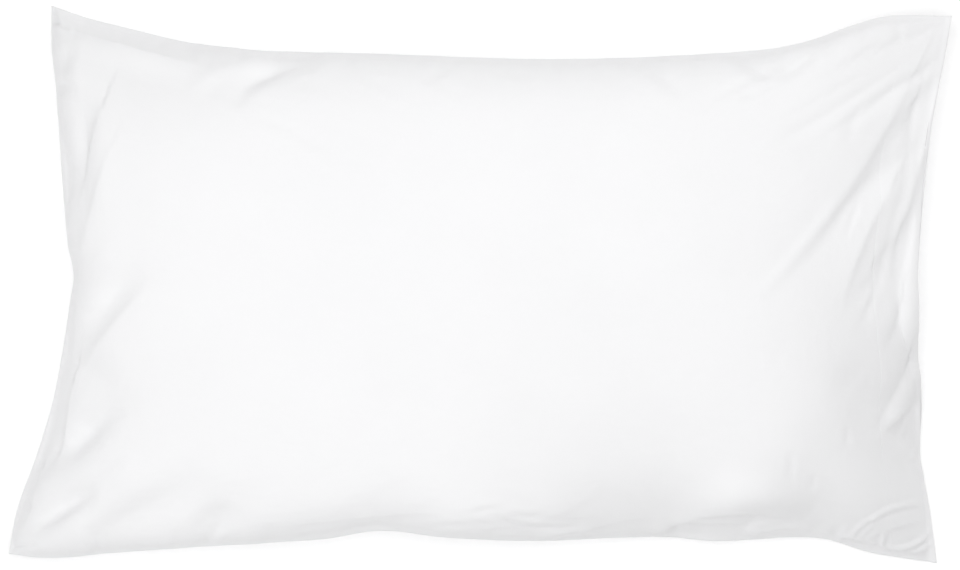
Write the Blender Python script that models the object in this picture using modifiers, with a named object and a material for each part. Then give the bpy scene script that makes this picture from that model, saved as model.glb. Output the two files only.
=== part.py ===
"""A pillowcase filled by its pillow, lying on its back on a flat surface.

The case is one length of percale: a front and a back panel joined along both long sides and at the closed
end (-X), and open at the mouth (+X), where each panel turns in as a hem. The pillow fills it out, so it is one
solid with a crown, drawn-in sides, thin flared corners and a flat place to rest on, and the mouth is a slot.

Run it with: blender --background --python part.py
Metres, +Z up. The origin is on the surface, under the middle of the case.
"""

import math
from collections import namedtuple

import bmesh
import bpy
from mathutils import Vector

MM = 0.001

# The length and the width of the case's cloth, laid flat
FLAT_LENGTH = 800 * MM
FLAT_WIDTH = 500 * MM

# Height of the pillow's middle above the surface, how near an edge it keeps that height, and how far the pillow
# reaches above and below it
MIDDLE_HEIGHT = 70 * MM
MIDDLE_REACH = 65 * MM
FRONT_CROWN = 94 * MM
BACK_CROWN = 84 * MM
FLOOR_EASE = 9 * MM  # how softly the underside turns on to the surface

# How far the pillow takes to reach its full height, and how it gets there: full at once at the sewn edges, and
# more gently behind the mouth, where the pillow does not fill the case
SIDE_REACH = 190 * MM
CLOSED_REACH = 205 * MM
RISE_POWER = 2.9
SIDE_ROUNDNESS = 0.29
CLOSED_ROUNDNESS = 0.36
MOUTH_ROUNDNESS = 0.8

# The hem of the mouth
HEM_DEPTH = 40 * MM
HEM_THICKNESS = 1.6 * MM
MOUTH_GAP = 2.2 * MM
SEAM_INSET = 5 * MM  # the slot stops this far short of the side seams
FLANGE_OPENING = 0.25  # how fast the panels part between the mouth and the pillow's end

# The cage: its cells along and across, closer together at the edges, and those of the turned-in hem
CELLS_ALONG = 32
CELLS_ACROSS = 18
HEM_CELLS = 2
CROWDING = 0.72
FINE_LEVELS = 1

COTTON_WHITE = (0.90, 0.90, 0.905, 1.0)
COTTON_ROUGHNESS = 0.85

# The corners of the case on the plan, in mm
Corner = namedtuple("Corner", "x y")
CORNERS = {
    ("closed", "lower"): Corner(-397.5, -228),
    ("closed", "upper"): Corner(-361.5, 237),
    ("mouth", "lower"): Corner(391, -237),
    ("mouth", "upper"): Corner(397.5, 225.8),
}

# Each edge runs straight between its corners but for its inset, in mm towards the middle of the case, at
# these shares of its length. z is its height above the surface. The flange is the empty cloth between the
# pillow's end and the mouth, and the reach is how far from there the pillow has its full height, all in mm.
Station = namedtuple("Station", "share inset z")
MouthStation = namedtuple("MouthStation", "share inset z flange reach")
UPPER_SIDE = [  # closed end to mouth
    Station(0.00, 0.0, 30),
    Station(0.04, 9.5, 20),
    Station(0.09, 18.5, 22),
    Station(0.15, 29.0, 34),
    Station(0.22, 36.0, 55),
    Station(0.37, 39.0, 73),
    Station(0.53, 41.5, 76),
    Station(0.65, 39.0, 76),
    Station(0.79, 31.0, 77),
    Station(0.84, 23.5, 79),
    Station(0.89, 9.5, 80),
    Station(0.93, 1.0, 78),
    Station(1.00, 0.0, 74),
]
LOWER_SIDE = [  # closed end to mouth
    Station(0.00, 0.0, 34),
    Station(0.04, -2.5, 40),
    Station(0.11, 2.5, 48),
    Station(0.22, 10.5, 64),
    Station(0.34, 18.0, 76),
    Station(0.40, 25.5, 79),
    Station(0.48, 20.5, 77),
    Station(0.57, 18.0, 58),
    Station(0.65, 20.0, 35),
    Station(0.71, 21.0, 22),
    Station(0.76, 18.0, 17),
    Station(0.87, 20.5, 12),
    Station(0.93, 8.0, 9),
    Station(1.00, 0.0, 8),
]
CLOSED_END = [  # lower corner to upper corner
    Station(0.00, 0.0, 34),
    Station(0.08, 3.0, 20),
    Station(0.18, 16.0, 24),
    Station(0.28, 27.5, 39),
    Station(0.38, 34.5, 58),
    Station(0.47, 38.5, 70),
    Station(0.515, 40.0, 72),
    Station(0.57, 33.0, 72),
    Station(0.71, 22.0, 66),
    Station(0.85, 11.0, 50),
    Station(0.92, 4.0, 40),
    Station(1.00, 0.0, 30),
]
MOUTH = [  # lower corner to upper corner
    MouthStation(0.00, 0.0, 8, 10, 160),
    MouthStation(0.10, 7.0, 8, 7, 165),
    MouthStation(0.20, 16.0, 14, 5, 180),
    MouthStation(0.30, 17.0, 33, 5, 200),
    MouthStation(0.43, 26.5, 63, 8, 220),
    MouthStation(0.58, 26.0, 88, 12, 250),
    MouthStation(0.72, 21.5, 96, 14, 280),
    MouthStation(0.82, 16.0, 95, 13, 300),
    MouthStation(0.92, 7.0, 87, 12, 300),
    MouthStation(1.00, 0.0, 74, 12, 300),
]

# The main folds: a path of three points on the plan, in mm, its half width and its depth (a ridge is above 0).
Fold = namedtuple("Fold", "start middle end width depth")
FRONT_FOLDS = [
    # the pillow's corner inside the mouth's lower corner, and the empty cloth that falls from it
    Fold((152, -172), (228, -158), (290, -80), 38, 12.0),
    Fold((178, -206), (218, -176), (282, -202), 17, 8.0),
    # the filling stands high beside the seams at the closed end's corners
    Fold((-334, 204), (-279, 188), (-208, 176), 16, 6.0),
    Fold((-328, -96), (-346, -140), (-368, -190), 14, 6.0),
    # long troughs and ridges that run down and in from the mouth's upper corner
    Fold((386, 176), (354, 122), (250, -12), 17, -11.0),
    Fold((378, 192), (342, 137), (290, 62), 14, 4.0),
    Fold((368, 62), (342, 20), (318, -26), 15, -9.0),
    Fold((370, 96), (360, 60), (347, 11), 12, 5.0),
    Fold((337, 24), (331, -9), (311, -43), 12, -5.0),
    # the pillow is slack towards the mouth's lower corner: hollows with a ridge between
    Fold((336, -72), (332, -100), (324, -128), 20, -9.0),
    Fold((362, -84), (348, -108), (340, -136), 12, 5.5),
    Fold((374, -112), (364, -128), (346, -142), 15, -8.0),
    # the mouth's lower corner folds in on itself
    Fold((302, -214), (332, -192), (380, -188), 14, -7.0),
    Fold((338, -216), (352, -210), (378, -212), 10, 5.0),
    # troughs and ridges that fan out from the closed end
    Fold((-282, 16), (-314, -22), (-348, -66), 16, -10.0),
    Fold((-271, 10), (-299, -26), (-336, -72), 14, 4.5),
    Fold((-294, -100), (-338, -130), (-370, -160), 17, -10.0),
    Fold((-328, -174), (-356, -194), (-382, -220), 12, -8.5),
    Fold((-310, -136), (-342, -164), (-368, -190), 13, 5.0),
    Fold((-246, -172), (-288, -196), (-326, -212), 18, -9.0),
    Fold((-314, 150), (-328, 86), (-338, 24), 14, -9.0),
    Fold((-348, 140), (-348, 96), (-346, 40), 10, 4.5),
    # the upper side: one long pull, and the dimples where the pillow ends
    Fold((-202, 160), (-170, 184), (-118, 196), 14, -10.0),
    Fold((-234, 166), (-198, 186), (-148, 198), 12, 6.0),
    Fold((-40, 176), (-28, 186), (-12, 196), 12, -5.0),
    Fold((132, 190), (160, 176), (178, 158), 14, -7.5),
    Fold((216, 196), (246, 176), (274, 196), 14, -10.0),
    # the lower side: hollows above the puckered seam
    Fold((-204, -190), (-220, -202), (-228, -214), 19, -9.0),
    Fold((-168, -206), (-94, -198), (-18, -190), 14, -7.5),
    Fold((52, -196), (84, -182), (110, -166), 13, -7.0),
]
BACK_FOLDS = [
    Fold((340, 160), (298, 134), (238, 116), 17, -8.0),
    Fold((346, -156), (302, -136), (250, -122), 17, -8.0),
    Fold((-336, 152), (-296, 132), (-244, 112), 17, -8.0),
    Fold((-340, -140), (-300, -132), (-248, -118), 17, -8.0),
    Fold((-62, 188), (-52, 162), (-48, 136), 16, -6.0),
    Fold((90, -186), (84, -162), (88, -134), 16, -6.0),
    Fold((178, 186), (172, 164), (160, 142), 14, -5.0),
]
FOLD_STEPS = 8  # straight steps that stand for a fold's curve


def column_at(stations, share, column):
    """A column of an edge's stations at a share of its length, on a smooth curve through them."""
    shares = [station.share for station in stations]
    values = [getattr(station, column) for station in stations]
    after = next((i for i, s in enumerate(shares) if s > share), len(shares) - 1)
    i = max(after - 1, 0)

    def slope(k):
        low, high = max(k - 1, 0), min(k + 1, len(shares) - 1)
        return (values[high] - values[low]) / (shares[high] - shares[low])

    step = shares[i + 1] - shares[i]
    t = (share - shares[i]) / step
    return (
        (1 + 2 * t) * (1 - t) ** 2 * values[i]
        + t * (1 - t) ** 2 * step * slope(i)
        + t * t * (3 - 2 * t) * values[i + 1]
        - t * t * (1 - t) * step * slope(i + 1)
    )


def edge_point(first, last, stations, share):
    """A point of an edge on the plan: on the line between its corners, moved inwards by its inset."""
    a, b = Vector(CORNERS[first]) * MM, Vector(CORNERS[last]) * MM
    on_line = a.lerp(b, share)
    across = (b - a).normalized().orthogonal()
    inwards = across if across.dot(-on_line) > 0 else -across
    return on_line + inwards * column_at(stations, share, "inset") * MM


def plan_point(along, across):
    """Where the cloth at these shares of its length and width lies on the plan (a Coons patch)."""
    closed_lower, closed_upper = ("closed", "lower"), ("closed", "upper")
    mouth_lower, mouth_upper = ("mouth", "lower"), ("mouth", "upper")
    lower = edge_point(closed_lower, mouth_lower, LOWER_SIDE, along)
    upper = edge_point(closed_upper, mouth_upper, UPPER_SIDE, along)
    closed = edge_point(closed_lower, closed_upper, CLOSED_END, across)
    mouth = edge_point(mouth_lower, mouth_upper, MOUTH, across)
    low_line = Vector(CORNERS[closed_lower]).lerp(Vector(CORNERS[mouth_lower]), along)
    high_line = Vector(CORNERS[closed_upper]).lerp(Vector(CORNERS[mouth_upper]), along)
    return lower.lerp(upper, across) + closed.lerp(mouth, along) - low_line.lerp(high_line, across) * MM


def middle_height(along, across):
    """The height of the sheet between the panels: each edge's own there, and the pillow's middle inside."""
    edges = [
        (across * FLAT_WIDTH, LOWER_SIDE, along),
        ((1 - across) * FLAT_WIDTH, UPPER_SIDE, along),
        (along * FLAT_LENGTH, CLOSED_END, across),
        ((1 - along) * FLAT_LENGTH, MOUTH, across),
    ]
    weights = [MIDDLE_REACH**-2] + [1 / max(distance, 1e-6) ** 2 for distance, _, _ in edges]
    heights = [MIDDLE_HEIGHT] + [column_at(stations, share, "z") * MM for _, stations, share in edges]
    return sum(weight * height for weight, height in zip(weights, heights)) / sum(weights)


def rise(distance, reach, roundness):
    """The share of its full height that the pillow has at a distance from an edge."""
    left = 1 - min(max(distance / reach, 0.0), 1.0)
    return (1 - left**RISE_POWER) ** roundness


def fullness(along, across):
    """The pillow's height at a place, as a share of its crown: nothing at the seams and hardly any in the flange."""
    place = plan_point(along, across)
    to_lower = (place - plan_point(along, 0)).length
    to_upper = (place - plan_point(along, 1)).length
    to_closed = (place - plan_point(0, across)).length
    to_mouth = (place - plan_point(1, across)).length
    flange = column_at(MOUTH, across, "flange") * MM
    mouth_reach = column_at(MOUTH, across, "reach") * MM
    from_pillow = math.sqrt(max(to_mouth - flange, 0.0) ** 2 + (FLANGE_OPENING * to_mouth) ** 2)
    return (
        rise(min(to_lower, to_upper), SIDE_REACH, SIDE_ROUNDNESS)
        * rise(to_closed, CLOSED_REACH, CLOSED_ROUNDNESS)
        * rise(from_pillow, mouth_reach, MOUTH_ROUNDNESS)
    )


def fold_path(fold):
    """Points along a fold: a quadratic curve that passes its middle point at half way."""
    start, middle, end = (Vector(point) * MM for point in (fold.start, fold.middle, fold.end))
    control = 2 * middle - (start + end) / 2
    shares = [step / FOLD_STEPS for step in range(FOLD_STEPS + 1)]
    return [start * (1 - t) ** 2 + control * 2 * t * (1 - t) + end * t * t for t in shares]


def fold_height(place, folds):
    """How far the folds lift the cloth at a place on the plan: each is deepest half way along and fades out."""
    total = 0.0
    for fold, path in folds:
        nearest, along = min(
            ((place - a.lerp(b, t)).length, (k + t) / FOLD_STEPS)
            for k, (a, b) in enumerate(zip(path, path[1:]))
            for t in [min(max((place - a).dot(b - a) / (b - a).length_squared, 0.0), 1.0)]
        )
        fade = math.sin(math.pi * min(max(0.08 + 0.84 * along, 0.0), 1.0))
        total += fold.depth * MM * fade * math.exp(-((nearest / (fold.width * MM)) ** 2))
    return total


def on_the_surface(height):
    """Height once the case rests on the surface: level where it would reach below it, with an eased turn."""
    if height <= -FLOOR_EASE:
        return 0.0
    if height >= FLOOR_EASE:
        return height
    return (height + FLOOR_EASE) ** 2 / (4 * FLOOR_EASE)


def outer_point(along, across, face, folds):
    """A point of a panel's outer side. face is 1 for the front and -1 for the back."""
    place = plan_point(along, across)
    full = fullness(along, across)
    at_seam = across in (0, 1) or along == 0
    cloth = 0 if at_seam else MOUTH_GAP / 2 + HEM_THICKNESS
    crown = FRONT_CROWN if face > 0 else BACK_CROWN
    settled = min(full / 0.12, 1.0)  # the seams and the flange stay straight under a fold
    height = middle_height(along, across) + face * (crown * full + cloth)
    height += face * fold_height(place, folds) * settled
    return Vector((*place, height if face > 0 or at_seam else on_the_surface(height)))


def inner_point(depth, across, face):
    """A point of a panel's turned-in hem, at a depth inside the mouth; the two hems meet at full depth."""
    inset = SEAM_INSET / FLAT_WIDTH
    inside = inset + across * (1 - 2 * inset)
    along = 1 - depth / FLAT_LENGTH
    parted = 0 if across in (0, 1) or depth >= HEM_DEPTH else MOUTH_GAP / 2
    return Vector((*plan_point(along, inside), middle_height(along, inside) + face * parted))


def crowded(share):
    """A share of a side, drawn towards its ends, where the shape turns fastest."""
    return share - CROWDING * math.sin(2 * math.pi * share) / (2 * math.pi)


def pass_through_points(mesh, rounds=4):
    """Move a cage out so that its rounded surface passes through where its points are now."""
    goals = {vert: vert.co.copy() for vert in mesh.verts if not vert.is_boundary}
    for _ in range(rounds):
        misses = {}
        for vert, goal in goals.items():
            count = len(vert.link_edges)
            faces = sum((face.calc_center_median() for face in vert.link_faces), Vector()) / count
            edges = sum(((edge.verts[0].co + edge.verts[1].co) / 2 for edge in vert.link_edges), Vector()) / count
            misses[vert] = goal - (faces + 2 * edges + (count - 3) * vert.co) / count
        for vert, miss in misses.items():
            vert.co += miss


def panel(face, folds):
    """One panel as a mesh: from the closed end to the mouth, and turned in there as its hem."""
    mesh = bmesh.new()
    columns = CELLS_ALONG + 1 + HEM_CELLS
    bmesh.ops.create_grid(mesh, x_segments=columns, y_segments=CELLS_ACROSS, size=0.5)
    paths = [(fold, fold_path(fold)) for fold in folds]
    for vert in mesh.verts:
        column = round((vert.co.x + 0.5) * columns)
        row = round((vert.co.y + 0.5) * CELLS_ACROSS)
        across = crowded(row / CELLS_ACROSS)
        if column <= CELLS_ALONG:
            vert.co = outer_point(crowded(column / CELLS_ALONG), across, face, paths)
        else:
            turned = (column - CELLS_ALONG - 1) / HEM_CELLS
            vert.co = inner_point(turned * HEM_DEPTH, across, face)
    if face > 0:
        pass_through_points(mesh)
    else:
        bmesh.ops.reverse_faces(mesh, faces=mesh.faces)
    return mesh


def sew(front, back):
    """Both panels as one closed mesh, its seams and the mouth's corners kept sharp."""
    joined = bpy.data.meshes.new("pillowcase")
    case = bmesh.new()
    for piece in (front, back):
        piece.to_mesh(joined)
        case.from_mesh(joined)
        piece.free()
    seams = {tuple(round(c, 6) for c in vert.co) for edge in case.edges if edge.is_boundary for vert in edge.verts}
    bmesh.ops.remove_doubles(case, verts=case.verts, dist=0.01 * MM)
    edge_crease = case.edges.layers.float.new("crease_edge")
    corner_crease = case.verts.layers.float.new("crease_vert")
    for edge in case.edges:
        on_seam = all(tuple(round(c, 6) for c in vert.co) in seams for vert in edge.verts)
        edge[edge_crease] = float(on_seam)
    corners = [outer_point(along, across, 1, []) for along in (0, 1) for across in (0, 1)]
    for vert in case.verts:
        vert[corner_crease] = float(min((vert.co - corner).length for corner in corners) < MM)
    case.to_mesh(joined)
    case.free()
    return joined


def cotton():
    """White cotton percale."""
    material = bpy.data.materials.new("white percale")
    material.use_nodes = True
    shader = material.node_tree.nodes["Principled BSDF"]
    shader.inputs["Base Color"].default_value = COTTON_WHITE
    shader.inputs["Roughness"].default_value = COTTON_ROUGHNESS
    shader.inputs["Metallic"].default_value = 0.0
    return material


def pillowcase(collection):
    """The filled case: the sewn cage, rounded by a Subdivision Surface."""
    mesh = sew(panel(1, FRONT_FOLDS), panel(-1, BACK_FOLDS))
    mesh.materials.append(cotton())
    mesh.shade_smooth()
    case = bpy.data.objects.new("pillowcase", mesh)
    collection.objects.link(case)
    rounded = case.modifiers.new("rounded", "SUBSURF")
    rounded.levels = FINE_LEVELS
    rounded.render_levels = FINE_LEVELS
    return case


def main():
    for obj in list(bpy.data.objects):
        bpy.data.objects.remove(obj)
    collection = bpy.data.collections.new("filled pillowcase")
    bpy.context.scene.collection.children.link(collection)
    pillowcase(collection)


main()
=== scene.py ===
"""A white percale pillowcase with its pillow inside, lying on its back on a plain studio floor.

The case is laid out as it is cut: a front and a back panel, measured along the cloth from the
closed end to the mouth and across it from the lower side seam to the upper one. The panels take
their place from the seams, their height from the pillow, and their folds from short tables and
from Blender's cloth simulation. Each panel turns in at the mouth as a hem, held by a row of
stitches.
"""

import math
from collections import namedtuple

import bpy
import numpy as np
from bpy.props import FloatProperty, FloatVectorProperty, IntProperty, PointerProperty
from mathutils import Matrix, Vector


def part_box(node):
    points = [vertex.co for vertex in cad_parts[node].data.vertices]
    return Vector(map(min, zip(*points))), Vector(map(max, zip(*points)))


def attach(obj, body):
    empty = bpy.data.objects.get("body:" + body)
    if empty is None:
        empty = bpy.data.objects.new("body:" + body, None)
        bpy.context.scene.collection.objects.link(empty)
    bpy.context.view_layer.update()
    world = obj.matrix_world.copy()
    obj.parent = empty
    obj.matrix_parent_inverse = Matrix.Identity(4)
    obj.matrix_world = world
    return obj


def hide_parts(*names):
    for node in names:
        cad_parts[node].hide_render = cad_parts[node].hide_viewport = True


bl_info = {
    "name": "Filled Pillowcase",
    "version": (1, 0, 0),
    "blender": (4, 5, 0),
    "location": "View3D > Sidebar > Pillowcase",
    "description": "Builds a percale pillowcase with its pillow inside, on a plain studio floor",
    "category": "Add Mesh",
}

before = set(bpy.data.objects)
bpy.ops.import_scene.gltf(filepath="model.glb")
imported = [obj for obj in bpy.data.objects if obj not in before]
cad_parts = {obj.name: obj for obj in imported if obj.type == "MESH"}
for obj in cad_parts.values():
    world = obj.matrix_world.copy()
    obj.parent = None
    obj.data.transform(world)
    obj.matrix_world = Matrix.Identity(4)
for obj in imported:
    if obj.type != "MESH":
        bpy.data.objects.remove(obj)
BODY = "root"
NODE = "pillowcase"
CASE_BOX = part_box("pillowcase")
MM = 0.001

# The seams. Each edge runs straight between its corners but for its inset, towards the middle of
# the case, at these shares of its length. z is its height above the floor. At the mouth, the flange
# is the empty cloth between the pillow's end and the edge, and the reach is how far from the flange
# the pillow has its full height. All are in mm.
Corner = namedtuple("Corner", "x y")
CLOSED_LOWER = Corner(CASE_BOX[0].x, -228 * MM)
CLOSED_UPPER = Corner(-361.5 * MM, 237 * MM)
MOUTH_LOWER = Corner(391 * MM, CASE_BOX[0].y)
MOUTH_UPPER = Corner(397.3 * MM, 225.8 * MM)

Station = namedtuple("Station", "share inset z")
MouthStation = namedtuple("MouthStation", "share inset z flange reach")
UPPER_SIDE = [  # closed end to mouth
    Station(0.00, 0.0, 30),
    Station(0.04, 9.5, 20),
    Station(0.09, 18.5, 22),
    Station(0.15, 29.0, 34),
    Station(0.22, 36.0, 55),
    Station(0.37, 39.0, 73),
    Station(0.53, 41.5, 76),
    Station(0.65, 39.0, 76),
    Station(0.79, 31.0, 77),
    Station(0.84, 23.5, 79),
    Station(0.89, 9.5, 80),
    Station(0.93, 1.0, 78),
    Station(1.00, 0.0, 74),
]
LOWER_SIDE = [  # closed end to mouth
    Station(0.00, 0.0, 34),
    Station(0.04, -2.5, 40),
    Station(0.11, 2.5, 48),
    Station(0.22, 10.5, 64),
    Station(0.34, 18.0, 76),
    Station(0.40, 25.5, 79),
    Station(0.48, 20.5, 77),
    Station(0.57, 18.0, 58),
    Station(0.65, 20.0, 35),
    Station(0.71, 21.0, 22),
    Station(0.76, 18.0, 17),
    Station(0.87, 20.5, 12),
    Station(0.93, 8.0, 9),
    Station(1.00, 0.0, 8),
]
CLOSED_END = [  # lower corner to upper corner
    Station(0.00, 0.0, 34),
    Station(0.08, 3.0, 20),
    Station(0.18, 16.0, 24),
    Station(0.28, 27.5, 39),
    Station(0.38, 34.5, 58),
    Station(0.47, 38.5, 70),
    Station(0.515, 40.0, 72),
    Station(0.57, 33.0, 72),
    Station(0.71, 22.0, 66),
    Station(0.85, 11.0, 50),
    Station(0.92, 4.0, 40),
    Station(1.00, 0.0, 30),
]
MOUTH = [  # lower corner to upper corner
    MouthStation(0.00, 0.0, 8, 6, 160),
    MouthStation(0.10, 7.0, 8, 4, 165),
    MouthStation(0.20, 16.0, 14, 4, 180),
    MouthStation(0.30, 17.0, 33, 5, 200),
    MouthStation(0.43, 26.5, 73, 14, 220),
    MouthStation(0.50, 27.0, 86, 15, 235),
    MouthStation(0.58, 26.0, 90, 9, 250),
    MouthStation(0.72, 21.5, 96, 7, 280),
    MouthStation(0.82, 16.0, 95, 5, 300),
    MouthStation(0.92, 7.0, 87, 4, 300),
    MouthStation(1.00, 0.0, 74, 4, 300),
]

# The pillow's section. Over its reach from an edge it rises as (1 - (1 - d) ** SWELL) ** roundness,
# so the less the roundness, the steeper its flank.
SWELL = 2.9
SIDE_REACH, SIDE_ROUNDNESS = 190 * MM, 0.205
CLOSED_REACH, CLOSED_ROUNDNESS = 205 * MM, 0.30
MOUTH_ROUNDNESS = 0.8
LIP_GAIN = 0.05  # the share of its distance that still counts in the flat cloth beside a seam
FLANGE_GAIN = 0.25  # and in the flange
MIDDLE_REACH = 65 * MM  # how near an edge the pillow's middle keeps its own height
FOLDS_FROM = 0.12  # the share of the pillow's height from which the folds have all of theirs
MOUTH_TAPER = 1.6  # hem depths over which the panels part for the hem's thickness and the gap
CORNER_TAPER = 0.3  # the less this is, the later that parting ends towards the mouth's corners

# The folds. A fold has three points on the plan, its half width and its height (below 0 for a
# trough), all in mm. Then come how sharp its line is (0 soft, 1 a crease), its step (the share of
# its height by which the left side of its run is raised and the right one lowered), and its root,
# the share of its height that it already has at its start.
Fold = namedtuple("Fold", "start middle end width height edge step root")

# A bend is a crisp line that stays where it is, while the cloth on the left and on the right of its
# run goes up or down beside it by these mm and comes back within about four widths.
Bend = namedtuple("Bend", "start middle end width left right root")

# The front's main folds, which the cloth settles over.
FRONT_FOLDS = [
    # the pillow's corner inside the mouth's lower corner, and the empty cloth that falls from it
    Fold((152, -172), (228, -158), (290, -80), 36, 6.0, 0.0, 0.0, 0.3),
    Fold((186, -188), (226, -172), (276, -190), 16, 10.0, 0.0, 0.0, 0.3),
    # the filling stands high beside the seams at the closed end's corners
    Fold((-338, 208), (-283, 192), (-212, 178), 12, 8.0, 0.0, 0.0, 0.3),
    Fold((-332, -96), (-348, -136), (-370, -186), 9, 4.0, 0.0, 0.0, 0.3),
    # long folds that run down and in from the mouth's upper corner
    Fold((386, 176), (354, 122), (250, -12), 15, -9.0, 0.0, 0.0, 0.3),
    Fold((368, 62), (342, 20), (318, -26), 13, -7.0, 0.0, 0.0, 0.3),
    # folds that fan out from the closed end
    Fold((-282, 16), (-314, -22), (-348, -66), 12, -6.0, 0.0, 0.0, 0.2),
    Fold((-294, -100), (-338, -130), (-370, -160), 17, -6.0, 0.1, 0.0, 0.2),
    Fold((-316, -166), (-344, -186), (-376, -216), 13, -5.0, 0.2, 0.0, 0.2),
    Fold((-238, -176), (-288, -198), (-326, -214), 18, -4.0, 0.0, 0.0, 0.2),
    Fold((-326, 150), (-336, 100), (-340, 50), 14, -4.0, 0.1, 0.0, 0.3),
    # the sides
    Fold((-202, 160), (-174, 182), (-130, 192), 16, -5.0, 0.1, 0.2, 0.4),
    Fold((-230, -184), (-220, -198), (-212, -210), 18, -4.0, 0.0, 0.0, 0.4),
    Fold((-168, -206), (-108, -198), (-18, -188), 12, -2.5, 0.2, 0.0, 0.3),
    Fold((-34, -190), (30, -186), (112, -190), 16, 3.0, 0.0, 0.0, 0.4),
]

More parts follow.
